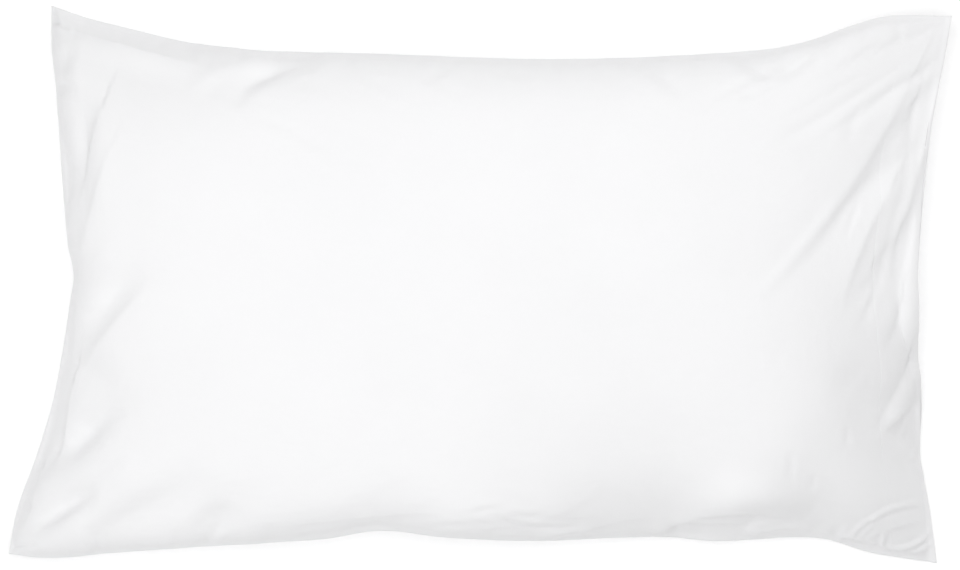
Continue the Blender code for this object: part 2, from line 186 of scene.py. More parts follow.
# The creases laid on the front once it has settled.
FRONT_CREASES = [
    # long bends, each steep on its side towards the mouth, and a dent below them
    Bend((360, 165), (317, 92), (252, 8), 20, -4.6, -0.5, 0.3),
    Bend((343, 77), (319, 30), (300, -24), 14, -4.6, -0.4, 0.4),
    Bend((338, 15), (326, -12), (309, -38), 7, -2.2, -0.4, 0.5),
    Bend((353, -14), (348, -34), (338, -54), 9, 1.2, 3.4, 0.6),
    # the hollow behind the mouth and the band beside it
    Bend((357, -76), (348, -101), (334, -124), 13, 0.4, 5.0, 0.7),
    Bend((371, -97), (354, -111), (341, -124), 8, -3.0, -0.4, 0.7),
    # the closed end's lower corner has a steep edge
    Bend((-338, -84), (-346, -122), (-363, -158), 11, 0.0, -8.0, 0.5),
    Bend((-370, -160), (-374, -184), (-387, -208), 8, 0.0, -5.0, 0.9),
    # a long bend that is steep on its upper side, two more above it and a small ridge by them
    Bend((-266, 6), (-306, -36), (-344, -86), 10, 0.0, -3.0, 0.2),
    Bend((-313, 145), (-327, 103), (-338, 58), 13, 0.0, -5.0, 0.5),
    Bend((-304, 113), (-318, 72), (-335, 8), 8, 0.0, -2.6, 0.4),
    Fold((-343, 76), (-342, 44), (-340, 14), 4, 2.0, 0.2, 0.0, 0.5),
    # at the closed end's upper corner the pillow stands over the seam
    Bend((-340, 213), (-283, 192), (-222, 180), 13, -7.0, -0.3, 0.4),
    # the lower side: the pillow turns under, with a furrow below its fullest place
    Bend((158, -205), (216, -184), (286, -206), 12, 0.0, -6.0, 0.5),
    Bend((-160, -201), (-92, -194), (-16, -187), 10, 0.0, -2.6, 0.3),
    Bend((54, -191), (79, -184), (106, -165), 6, 0.0, -1.2, 0.6),
    Fold((168, -207), (200, -209), (236, -207), 6, -6.0, 0.2, 0.0, 0.7),
    Bend((100, -202), (121, -197), (148, -192), 8, 0.0, -1.6, 0.6),
    # upper right: a long ridge with its shaded side towards the mouth, and its shorter neighbours
    Fold((372, 190), (322, 104), (292, 62), 6, 0.5, 0.3, 0.0, 0.4),
    Fold((294, 62), (260, 20), (228, -14), 5, 1.0, 0.4, -0.5, 0.8),
    Fold((315, 144), (309, 129), (303, 115), 6, -1.0, 0.3, -0.4, 0.6),
    Fold((317, 65), (311, 52), (305, 38), 2.2, -0.8, 0.4, 0.2, 0.7),
    Fold((350, 88), (346, 74), (340, 62), 6, 0.8, 0.3, 0.0, 0.4),
    Fold((334, -16), (331, -22), (327, -30), 3, 0.9, 0.5, 0.0, 0.6),
    Fold((372, 110), (359, 62), (346, 10), 4, 2.2, 0.4, -0.4, 0.6),
    Fold((368, 142), (357, 122), (346, 104), 7, 1.2, 0.1, 0.0, 0.6),
    Fold((362, -12), (360, -36), (356, -60), 10, 4.0, 0.0, 0.0, 0.6),
    # right: a ridge between two hollows, small creases, and the nick by the mouth
    Fold((318, -84), (336, -100), (350, -116), 19, -8.0, 0.0, 0.0, 0.6),
    Fold((367, -78), (357, -100), (345, -120), 7, 3.2, 0.2, 0.0, 0.7),
    Fold((344, -124), (356, -129), (368, -134), 8, -2.0, 0.2, 0.0, 0.6),
    Fold((362, -121), (361, -126), (359, -131), 1.8, 1.0, 0.5, 0.0, 0.9),
    Fold((368, -146), (371, -143), (374, -139), 2.2, 1.3, 0.5, 0.4, 1.0),
    Fold((370, -148), (374, -157), (379, -168), 3.5, 1.5, 0.3, 0.0, 0.8),
    Fold((307, -122), (308, -128), (308, -134), 3, -1.2, 0.6, 0.4, 0.8),
    Fold((259, -140), (259, -151), (260, -162), 3, -1.0, 0.6, 0.4, 0.8),
    Fold((279, -160), (279, -165), (279, -170), 3, -1.0, 0.6, 0.4, 0.8),
    # the mouth's lower corner folds in on itself
    Fold((314, -214), (323, -202), (335, -195), 2.2, 1.9, 0.5, 0.3, 0.7),
    Fold((332, -197), (352, -188), (381, -187), 2.2, 1.9, 0.5, 0.3, 0.9),
    Fold((319, -216), (329, -205), (339, -199), 1.8, 1.2, 0.5, 0.0, 0.8),
    Fold((343, -211), (342, -219), (341, -227), 2.0, 1.8, 0.5, 0.3, 0.9),
    Fold((345, -224), (368, -222), (388, -209), 2.2, 2.2, 0.5, 0.3, 0.9),
    Fold((352, -229), (371, -228), (387, -220), 2.0, 1.8, 0.5, 0.4, 0.9),
    Bend((330, -214), (352, -205), (384, -200), 8, -0.6, -2.2, 0.8),
    Fold((311, -217), (340, -226), (374, -231), 3, -3.5, 0.3, 0.0, 0.8),
    # lower side: the pillow turns under, and the seam is puckered
    Fold((228, -210), (249, -207), (273, -204), 2.4, 1.6, 0.4, 0.3, 0.8),
    Fold((229, -203), (236, -203), (244, -203), 2.2, 1.0, 0.4, 0.0, 0.8),
    Fold((-36, -200), (-21, -198), (-5, -197), 2.4, -1.2, 0.5, 0.4, 0.8),
    Fold((-4, -187), (6, -184), (17, -183), 2.2, -0.9, 0.5, 0.4, 0.8),
    Fold((2, -195), (8, -197), (16, -198), 2.2, -1.1, 0.5, 0.4, 0.8),
    Fold((8, -205), (23, -202), (41, -204), 2.4, -1.2, 0.5, 0.4, 0.8),
    Fold((-48, -207), (-33, -208), (-17, -207), 2.6, 1.1, 0.5, 0.0, 0.8),
    Fold((22, -193), (55, -201), (106, -199), 2.6, -1.5, 0.5, 0.5, 0.8),
    Fold((46, -210), (75, -206), (106, -201), 3.2, 1.6, 0.4, 0.3, 0.8),
    Fold((30, -188), (44, -190), (58, -190), 2.4, -0.9, 0.5, 0.4, 0.8),
    Fold((60, -194), (82, -195), (100, -194), 2.4, -0.8, 0.5, 0.4, 0.8),
    Fold((-203, -180), (-212, -197), (-220, -214), 14, -4.0, 0.1, 0.0, 0.4),
    Fold((-217, -205), (-220, -210), (-223, -215), 3, -1.4, 0.6, 0.4, 0.8),
    # closed end: folds that fan out and in from the lower corner
    Fold((-333, -62), (-318, -72), (-298, -84), 13, -3.4, 0.1, 0.2, 0.6),
    Fold((-298, -96), (-339, -133), (-377, -164), 10, -4.0, 0.1, 0.0, 0.3),
    Fold((-300, -148), (-313, -155), (-328, -163), 6, -1.4, 0.3, 0.3, 0.5),
    Fold((-328, -178), (-356, -192), (-379, -216), 8, -4.5, 0.3, 0.3, 0.4),
    Fold((-394, -222), (-383, -221), (-370, -218), 4, -2.6, 0.6, -0.4, 1.0),
    Fold((-240, -168), (-285, -194), (-328, -216), 15, -3.8, 0.1, 0.2, 0.4),
    # closed end: upper half
    Fold((-329, 134), (-331, 95), (-327, 58), 9, -3.4, 0.2, 0.3, 0.5),
    Fold((-344, 206), (-345, 180), (-352, 156), 6, -1.8, 0.4, 0.4, 0.6),
    # upper side
    Fold((-231, 165), (-199, 183), (-146, 193), 6, 1.6, 0.3, 0.0, 0.6),
    Fold((-198, 157), (-176, 178), (-129, 191), 7, -2.8, 0.4, 0.3, 0.6),
    Fold((-41, 172), (-34, 177), (-27, 183), 4, -1.2, 0.4, 0.3, 0.8),
    Fold((21, 179), (31, 176), (41, 172), 4, -1.2, 0.4, 0.3, 0.8),
    Fold((129, 193), (151, 176), (173, 157), 7, -1.8, 0.4, 0.5, 0.7),
    Fold((212, 195), (229, 182), (247, 169), 6, -2.2, 0.5, 0.5, 0.8),
    Fold((274, 190), (260, 180), (246, 169), 6, -2.2, 0.5, -0.5, 0.8),
    Fold((226, 193), (245, 185), (264, 191), 11, -3.0, 0.0, 0.0, 0.8),
    Fold((221, 155), (232, 161), (244, 168), 3, -1.4, 0.6, 0.3, 0.8),
]

# The back's folds, all guessed from how such a case lies.
BACK_FOLDS = [
    Fold((340, 160), (298, 134), (238, 116), 14, -6.0, 0.3, 0.0, 0.3),
    Fold((346, -156), (302, -136), (250, -122), 14, -6.0, 0.3, 0.0, 0.3),
    Fold((-336, 152), (-296, 132), (-244, 112), 14, -6.0, 0.3, 0.0, 0.3),
    Fold((-340, -140), (-300, -132), (-248, -118), 14, -6.0, 0.3, 0.0, 0.3),
    Fold((-62, 188), (-52, 162), (-48, 136), 13, -4.0, 0.3, 0.0, 0.4),
    Fold((90, -186), (84, -162), (88, -134), 13, -4.0, 0.3, 0.0, 0.4),
    Fold((178, 186), (172, 164), (160, 142), 11, -4.0, 0.3, 0.0, 0.4),
]

# A fold's run: its straight steps, the share of it over which the fold grows to its full height,
# where it starts to fade and over how much of the run.
FOLD_STEPS = 10
GROWING, GROWTH_POWER = 0.35, 0.8
FADES_AT, FADING, FADE_POWER = 0.45, 0.55, 2

# A fold's section, in widths from its line. A bend leaves its line and comes back. A fold's crest
# and its step sharpen with its edge, and it has low shoulders, in full from an edge of a fifth up.
FOLD_REACH = 4.5
BEND_LEAVES, BEND_RETURNS = 0.4, 2.2
CREST_POWER, CREST_SHARPENS = 2, 0.8
STEP_WIDTH, STEP_SHARPENS, STEP_FADES = 0.55, 0.4, 0.8
SHOULDER_PLACE, SHOULDER_DEPTH, SHOULDER_GAIN = 1.9, 0.28, 5

# Short gathers that the sewing leaves beside the side seams and the closed end: the least and most
# of their spacing, length, depth and half width in mm, and of their step. They lean from square to
# the seam by chance, and bow on the way. The clear ends of each seam have none.
GATHER_SPACING = (16, 38)
GATHER_LENGTH = (9, 34)
GATHER_DEPTH = (0.3, 1.1)
GATHER_WIDTH = (3.5, 6)
GATHER_STEP = (-0.4, 0.4)
GATHER_EDGE = 0.3
GATHER_LEAN, GATHER_BOW = 0.35, 0.6
FIRST_CLEAR, LAST_CLEAR = 12, 24
SEAM_STEP = 2  # mm of the seam that give its direction
FRONT_SEED, BACK_SEED = 3, 8

# Where the cloth is longer than the pillow, as a share of its length: beside the seams, fading over
# a distance from them, and by the extra of these spots, in mm. The hold is how much more firmly the
# pillow keeps the cloth in place there.
SEAM_SLACK, SLACK_REACH = 0.03, 55 * MM
Spot = namedtuple("Spot", "x y radius extra hold")
SPOTS = [
    Spot(22, -190, 90, 0.03, 0.0),
    Spot(322, -100, 80, 0.02, 0.0),
    Spot(-288, 170, 150, 0.0, 0.3),
    Spot(272, -150, 130, 0.01, 0.2),
    Spot(-328, -190, 90, 0.0, 0.06),
    Spot(302, 190, 90, 0.0, 0.06),
    Spot(-228, -120, 110, 0.0, 0.25),
    Spot(132, -130, 90, 0.0, 0.25),
]
RESTING = 0.5 * MM  # the back is on the floor where it is lower than this

# The seams and the hem, in mm.
SEAM_ROWS = np.array([0.8, 1.8, 2.8, 4.4])  # rows of the mesh beside a seam
SEAM_CLEAR = 5.5  # how far its other rows stay from a seam
HEM_ROWS = np.array([-1.0, -0.5, 0.0, 0.5, 1.0])  # its rows at the hem's stitches
HEM_CLEAR = 2.4  # and how far the others stay from them
SEAM_GROOVE, GROOVE_PLACE, GROOVE_WIDTH = 0.3, 5, 2  # the dip that a seam pulls beside itself
FLOOR_CLEAR = 4  # height over which the back's creases grow from nothing at the floor
HEM_PLY, PLY_PLACE, PLY_WIDTH = 0.06, 0.4, 0.5  # how far the hem's second ply shows, and where
STITCH_GROOVE, STITCH_WIDTH = 0.06, 1.0  # the groove that the stitches pull
HEM_TURNS = (0.25, 0.5, 0.75)  # rows round the hem's folded edge, as shares of the half turn
HEM_ARC = 0.5  # cloth from one of them to the next
HEM_DEPTHS = np.array([4, 10, 18, 27, 37])  # rows of its inner side, from the edge inwards
HEM_INSET = 4  # how far the inner side stays from the side seams

# The flat cloth, in metres: the side of the square that all of it is cut from, and the space round
# each piece.
SHEET = 1.03
CUT_SPACE = 4 * MM

# A stitch, in rings along it: the share of its length, and its size and its height above the
# groove as shares of the thread's radius.
Ring = namedtuple("Ring", "share size lift")
STITCH_RINGS = [
    Ring(0.00, 0.25, -0.70),
    Ring(0.12, 0.80, -0.10),
    Ring(0.35, 1.00, 0.25),
    Ring(0.65, 1.00, 0.25),
    Ring(0.88, 0.80, -0.10),
    Ring(1.00, 0.25, -0.70),
]
STITCH_SIDES = 6
STITCH_LENGTH = 0.86  # of the pitch: the rest is the hole that the needle left
STITCH_MARGIN = 2 * MM  # from each end of the row
LOOK_AHEAD = 1 * MM  # over which a stitch takes its direction from the row
PANELS = {}  # the finished panels, which the case's operator leaves here for the stitches

# The cloth's patterns. Percale's threads lie 0.3 mm apart, which is too fine to show, so they are
# drawn 0.9 mm apart. The others go by how many of them fit in a metre, along and across the thread.
THREAD_SPACING = 0.9
SLUBS = (25.0, 700.0)  # each 40 mm long and 1.4 mm wide
Noise = namedtuple("Noise", "scale detail roughness distortion")
RUMPLES = Noise(22.0, 3.0, 0.5, 0.6)  # 45 mm across, with finer ones among them
CRINKLE = Noise(120.0, 3.0, 0.6, 1.2)  # 8 mm across
TONE = Noise(9.0, 4.0, 0.6, 0.0)  # 110 mm across
THICK_TONE = 0.985  # how bright the cloth's thickest places are beside the rest
PLIES = 1600.0  # the thread's plies turn every 0.6 mm

# The studio, in metres and watts: a sheet of paper, four lamps, and a camera that looks straight
# down from far off, so that the case is seen square to its face.
FLOOR_REACH = 6.0
SURROUND = 0.39  # strength of the white light from all sides
Lamp = namedtuple("Lamp", "name place size power")
LAMPS = [
    Lamp("soft box", (0.0, 0.0, 3.0), 1.2, 41),
    Lamp("upper right fill", (1.56, 1.56, 1.5), 1.4, 10),
    Lamp("upper left fill", (-1.56, 1.56, 1.5), 1.4, 5),
    Lamp("lower left fill", (-1.56, -1.56, 1.5), 1.4, 10),
]
LAMPS_AIM = (0, 0, 0.08)
SENSOR = 36  # mm
VIEW_MIDDLE = (0.002, 0, 0.07)
VIEW_WIDTH = 0.8064  # across the view at that height
CAMERA_DISTANCE = 4.0
CAMERA_SEES = 50


def linear(code):
    """An sRGB hex colour such as 'F2F2F4' as linear RGBA."""
    parts = [int(code[i : i + 2], 16) / 255 for i in (0, 2, 4)]
    return [p / 12.92 if p <= 0.04045 else ((p + 0.055) / 1.055) ** 2.4 for p in parts] + [1.0]


def size(name, description, default):
    """A length in metres that a user can change."""
    return FloatProperty(
        name=name, description=description, default=default, unit="LENGTH", precision=4
    )


def colour(name, description, code):
    """A colour that a user can change."""
    return FloatVectorProperty(
        name=name, description=description, default=linear(code), subtype="COLOR", size=4
    )


class CaseSettings(bpy.types.PropertyGroup):
    """Sizes of the case, its hem and the pillow in it."""

    flat_length: size("Flat Length", "Length of a panel as cut", 0.80)
    flat_width: size("Flat Width", "Width of a panel as cut", 0.50)
    seam_lip: size("Seam Lip", "Flat cloth beside every seam", 0.0034)
    middle: size("Middle", "Height of the pillow's middle above the floor", 0.070)
    front_crown: size("Front Crown", "How far the pillow rises above the seams", 0.092)
    back_crown: size("Back Crown", "How far it would sink below them", 0.084)
    floor_ease: size("Floor Ease", "How softly the back turns on to the floor", 0.009)
    hem_depth: size("Hem Depth", "Width of the hem at the mouth", 0.040)
    hem_thickness: size("Hem Thickness", "The hem's plies together", 0.0014)
    mouth_gap: size("Mouth Gap", "Least space between the two hems", 0.0016)
    stitch_pitch: size("Stitch Pitch", "From one stitch to the next", 0.0028)
    thread: size("Thread", "Thickness of the sewing thread", 0.0004)
    cell: size("Cell", "Size of the finished mesh's faces", 0.0033)
    crowding: FloatProperty(
        name="Crowding",
        description="How much smaller its faces are near the edges than in the middle",
        default=0.5,
        subtype="FACTOR",
    )


class ClothSettings(bpy.types.PropertyGroup):
    """How the cloth is settled on the pillow."""

    cell: size("Cloth Cell", "Size of the simulated faces", 0.005)
    reach: size("Reach", "The furthest that a point of the cloth may move", 0.010)
    steps: IntProperty(name="Steps", description="Steps of the simulation", default=20)
    pressure: FloatProperty(
        name="Pressure", description="How hard the filling presses", default=3.0
    )
    hold: FloatProperty(
        name="Hold",
        description="How firmly the pillow keeps the cloth in place",
        default=0.03,
        subtype="FACTOR",
    )
    bending: FloatProperty(
        name="Bending", description="How stiffly the cloth bends", default=0.15
    )


class LookSettings(bpy.types.PropertyGroup):
    """Colours of the cloth, thread and studio."""

    cloth: colour("Cloth", "Bleached cotton", "F6F6F7")
    thread: colour("Thread", "Sewing thread", "F5F5F6")
    floor: colour("Floor", "Paper sweep", "FAFAFA")


# ---- Laying out the cloth ----
def through(rows, column, shares):
    """A column of an edge's table at an array of shares, on a smooth curve through its rows."""
    known = np.array([row.share for row in rows])
    values = np.array([getattr(row, column) for row in rows])
    low = np.maximum(np.arange(len(rows)) - 1, 0)
    high = np.minimum(np.arange(len(rows)) + 1, len(rows) - 1)
    slopes = (values[high] - values[low]) / (known[high] - known[low])
    i = np.clip(np.searchsorted(known, shares, side="right") - 1, 0, len(rows) - 2)
    step = known[i + 1] - known[i]
    t = (shares - known[i]) / step
    return (
        (1 + 2 * t) * (1 - t) ** 2 * values[i]
        + t * (1 - t) ** 2 * step * slopes[i]
        + t * t * (3 - 2 * t) * values[i + 1]
        - t * t * (1 - t) * step * slopes[i + 1]
    )


def edge_line(first, last, rows, shares):
    """Points of an edge on the plan: on the line between its corners, moved in by its inset."""
    a, b = np.array(first[:2]), np.array(last[:2])
    on_line = a + (b - a) * shares[:, None]
    across = np.array([-(b - a)[1], (b - a)[0]]) / np.linalg.norm(b - a)
    inwards = across if across @ -(a + b) > 0 else -across
    return on_line + inwards * through(rows, "inset", shares)[:, None] * MM


def plan_of(along, across):
    """Where the cloth at these shares of its length and width lies on the plan (a Coons patch)."""
    s, t = along[:, None, None], across[None, :, None]
    lower = edge_line(CLOSED_LOWER, MOUTH_LOWER, LOWER_SIDE, along)[:, None]
    upper = edge_line(CLOSED_UPPER, MOUTH_UPPER, UPPER_SIDE, along)[:, None]
    closed = edge_line(CLOSED_LOWER, CLOSED_UPPER, CLOSED_END, across)[None]
    mouth = edge_line(MOUTH_LOWER, MOUTH_UPPER, MOUTH, across)[None]
    a, b, c, d = (np.array(p[:2]) for p in (CLOSED_LOWER, MOUTH_LOWER, CLOSED_UPPER, MOUTH_UPPER))
    flat = (a * (1 - s) + b * s) * (1 - t) + (c * (1 - s) + d * s) * t
    return lower * (1 - t) + upper * t + closed * (1 - s) + mouth * s - flat


def middle_heights(along, across, settings):
    """The height half way between the panels: each edge's own at that edge, the pillow's inside."""
    s, t = along[:, None] * settings.flat_length, across[None] * settings.flat_width
    edges = [
        (t, LOWER_SIDE, along[:, None]),
        (settings.flat_width - t, UPPER_SIDE, along[:, None]),
        (s, CLOSED_END, across[None]),
        (settings.flat_length - s, MOUTH, across[None]),
    ]
    total, weights = settings.middle * MIDDLE_REACH**-2, MIDDLE_REACH**-2
    for distance, rows, shares in edges:
        weight = 1 / np.maximum(distance, 1e-6) ** 2
        total = total + weight * through(rows, "z", shares) * MM
        weights = weights + weight
    return total / weights


def rise(distance, reach, roundness):
    """The share of its full height that the pillow has at a distance from an edge."""
    left = 1 - np.clip(distance / reach, 0, 1)
    return (1 - left**SWELL) ** roundness


def edge_distances(along, across):
    """Distances on the plan from each point to the lower, upper and closed edges and the mouth."""
    plan = plan_of(along, across)
    ends = np.array([0.0, 1.0])
    sides, caps = plan_of(along, ends), plan_of(ends, across)
    edges = (sides[:, :1], sides[:, 1:], caps[:1], caps[1:])
    return [np.linalg.norm(plan - edge, axis=2) for edge in edges]


def fullness(along, across, lip=0.0):
    """The pillow's height as a share of its crown: none at the seams, hardly any in the flange."""
    to_lower, to_upper, to_closed, to_mouth = edge_distances(along, across)
    to_lower, to_upper, to_closed = (
        np.hypot(np.maximum(distance - lip, 0), LIP_GAIN * distance) if lip else distance
        for distance in (to_lower, to_upper, to_closed)
    )
    flange = through(MOUTH, "flange", across)[None] * MM
    reach = through(MOUTH, "reach", across)[None] * MM
    from_pillow = np.hypot(np.maximum(to_mouth - flange, 0), FLANGE_GAIN * to_mouth)
    sides = rise(np.minimum(to_lower, to_upper), SIDE_REACH, SIDE_ROUNDNESS)
    closed = rise(to_closed, CLOSED_REACH, CLOSED_ROUNDNESS)
    return sides * closed * rise(from_pillow, reach, MOUTH_ROUNDNESS)


def fold_path(fold):
    """Points along a fold: a quadratic curve that passes its middle point at half way."""
    start, middle, end = (np.array(point) * MM for point in (fold.start, fold.middle, fold.end))
    control = 2 * middle - (start + end) / 2
    t = np.linspace(0, 1, FOLD_STEPS + 1)[:, None]
    return start * (1 - t) ** 2 + control * 2 * t * (1 - t) + end * t * t


def nearest_on(path, places):
    """Each place's distance from a path, the share of the path that is nearest, and its side.

    The side is 1 on the left of the path's run and -1 on its right.
    """
    nearest = np.full(len(places), np.inf)
    share = np.zeros(len(places))
    side = np.zeros(len(places))
    for k, (a, b) in enumerate(zip(path, path[1:])):
        run = b - a
        offset = places - a
        t = np.clip((offset @ run) / (run @ run), 0, 1)
        distance = np.linalg.norm(offset - t[:, None] * run, axis=1)
        closer = distance < nearest
        nearest = np.where(closer, distance, nearest)
        share = np.where(closer, (k + t) / FOLD_STEPS, share)
        side = np.where(closer, run[0] * offset[:, 1] - run[1] * offset[:, 0], side)
    return nearest, share, np.sign(side)


def bend_section(bend, away, side):
    """A bend's height in mm at a distance in widths: none on its line, and most a width away."""
    beside = (1 - np.exp(-away / BEND_LEAVES)) * np.exp(-((away / BEND_RETURNS) ** 2))
    return np.where(side > 0, bend.left, bend.right) * beside


def fold_section(fold, away, side):
    """A fold's height in mm at a distance in widths: its crest, its low shoulders and its step."""
    low = SHOULDER_DEPTH * min(1, SHOULDER_GAIN * fold.edge)
    shoulders = low * np.exp(-((away - SHOULDER_PLACE) ** 2))
    crest = np.exp(-(away ** (CREST_POWER - CREST_SHARPENS * fold.edge))) - shoulders
    turn = np.tanh(side * away / (STEP_WIDTH - STEP_SHARPENS * fold.edge))
    step = turn * np.exp(-STEP_FADES * away)
    return fold.height * crest + abs(fold.height) * fold.step * step


def relief(plan, folds):
    """How far the folds lift the cloth at each place. Each grows from its root and fades out."""
    total = np.zeros(plan.shape[:-1])
    for fold in folds:
        path = fold_path(fold)
        reach = FOLD_REACH * fold.width * MM
        lowest, highest = path.min(axis=0) - reach, path.max(axis=0) + reach
        near = np.all((plan > lowest) & (plan < highest), axis=-1)
        nearest, share, side = nearest_on(path, plan[near])
        away = nearest / (fold.width * MM)
        begin = fold.root + (1 - fold.root) * np.clip(share / GROWING, 0, 1) ** GROWTH_POWER
        end = 1 - np.clip((share - FADES_AT) / FADING, 0, 1) ** FADE_POWER
        section = bend_section if isinstance(fold, Bend) else fold_section
        total[near] += section(fold, away, side) * MM * begin * end
    return total


def on_the_floor(height, ease):
    """Height once the case rests on the floor: level where it would reach below it, and eased."""
    turning = (np.clip(height, -ease, ease) + ease) ** 2 / (4 * ease)
    return np.where(height >= ease, height, turning)


def normals_of(points):
    """The upward normals of a grid of points."""
    along = np.gradient(points, axis=0)
    across = np.gradient(points, axis=1)
    normals = np.cross(along, across)
    return normals / np.maximum(np.linalg.norm(normals, axis=2, keepdims=True), 1e-12)


def lay_panel(along, across, face, settings, folds, lip=0.0):
    """A panel's outer side as a grid of points. face is 1 for the front and -1 for the back."""
    plan = plan_of(along, across)
    full = fullness(along, across, lip)
    crown = settings.front_crown if face > 0 else settings.back_crown
    height = middle_heights(along, across, settings) + face * crown * full
    to_mouth = edge_distances(along, across)[3]
    by_mouth = np.clip(1 - to_mouth / (settings.hem_depth * MOUTH_TAPER), 0, 1)
    parted = by_mouth**2 * (3 - 2 * by_mouth) * np.sin(np.pi * across)[None] ** CORNER_TAPER
    height = height + face * (settings.hem_thickness + settings.mouth_gap / 2) * parted
    points = np.dstack([plan, height])
    filled = np.clip(full / FOLDS_FROM, 0, 1)[..., None]
    points += normals_of(points) * (face * relief(plan, folds))[..., None] * filled
    if face < 0:
        points[..., 2] = on_the_floor(points[..., 2], settings.floor_ease)
    return points


def gathers(seed):
    """Short folds that run in from the side seams and the closed end, unevenly spaced."""
    chance = np.random.default_rng(seed)
    seams = (
        (CLOSED_LOWER, MOUTH_LOWER, LOWER_SIDE),
        (CLOSED_UPPER, MOUTH_UPPER, UPPER_SIDE),
        (CLOSED_LOWER, CLOSED_UPPER, CLOSED_END),
    )
    folds = []
    for first, last, rows in seams:
        length = math.dist(first[:2], last[:2]) / MM
        at = chance.uniform(*GATHER_SPACING) + FIRST_CLEAR
        while at < length - LAST_CLEAR:
            two_places = np.array([at / length, (at + SEAM_STEP) / length])
            here, beyond = edge_line(first, last, rows, two_places) / MM
            along = (beyond - here) / np.linalg.norm(beyond - here)
            inwards = np.array([-along[1], along[0]])
            if inwards @ here > 0:
                inwards = -inwards
            lean = chance.normal(0, GATHER_LEAN)
            reach = chance.uniform(*GATHER_LENGTH)
            middle = here + (inwards + along * lean * GATHER_BOW) * reach / 2
            end = here + (inwards + along * lean) * reach
            depth = -chance.uniform(*GATHER_DEPTH)
            width = chance.uniform(*GATHER_WIDTH)
            step = chance.uniform(*GATHER_STEP)
            folds.append(Fold(here, middle, end, width, depth, GATHER_EDGE, step, 1.0))
            at += chance.uniform(*GATHER_SPACING)
    return folds


def hem_relief(along, settings):
    """The hem's second ply and the groove that its stitches pull, along the length of a panel."""
    past = settings.hem_depth - (1 - along) * settings.flat_length
    ply = 0.5 + 0.5 * np.tanh((past - PLY_PLACE * MM) / (PLY_WIDTH * MM))
    groove = np.exp(-((past / (STITCH_WIDTH * MM)) ** 2))
    return HEM_PLY * MM * ply - STITCH_GROOVE * MM * groove


# ---- Meshes from grids ----
def spaced(length, cell, crowding=0.0):
    """Shares of a length, about a cell apart, and drawn towards its ends by the crowding."""
    shares = np.linspace(0, 1, round(length / cell) + 1)
    return shares - crowding * np.sin(2 * np.pi * shares) / (2 * np.pi)


def numbered(n, m, own):
    """Two grids of vertex numbers: the second has its own in one region, and else the first's."""
    first = np.arange(n * m).reshape(n, m)
    second = first.copy()
    second[own] = n * m + np.arange(second[own].size).reshape(second[own].shape)
    return first, second


def quads(grid, up):
    """The faces between the rows and columns of a grid of vertex numbers."""
    a, b, c, d = grid[:-1, :-1], grid[1:, :-1], grid[1:, 1:], grid[:-1, 1:]
    order = (a, b, c, d) if up else (a, d, c, b)
    return np.stack([o.ravel() for o in order], axis=1)


def mesh_from(name, points, faces):
    """A mesh from arrays of points and of quads."""
    mesh = bpy.data.meshes.new(name)
    mesh.from_pydata(points.tolist(), [], faces.tolist())
    mesh.update()
    return mesh


def set_uv(mesh, places):
    """The flat places of the face corners, as shares of the sheet that they are cut from."""
    layer = mesh.uv_layers.new(name="OFBake")
    layer.data.foreach_set("uv", places.ravel())


def add_object(name, data):
    """A new object in the scene."""
    obj = bpy.data.objects.new(name, data)
    bpy.context.scene.collection.objects.link(obj)
    return obj


# ---- Settling the cloth on the pillow ----
def near_spots(plan, column):
    """A column of the spots, spread over the plan."""
    total = np.zeros(plan.shape[:-1])
    for spot in SPOTS:
        distance = np.linalg.norm(plan - np.array([spot.x, spot.y]) * MM, axis=-1)
        total += getattr(spot, column) * np.exp(-((distance / (spot.radius * MM)) ** 2))
    return total


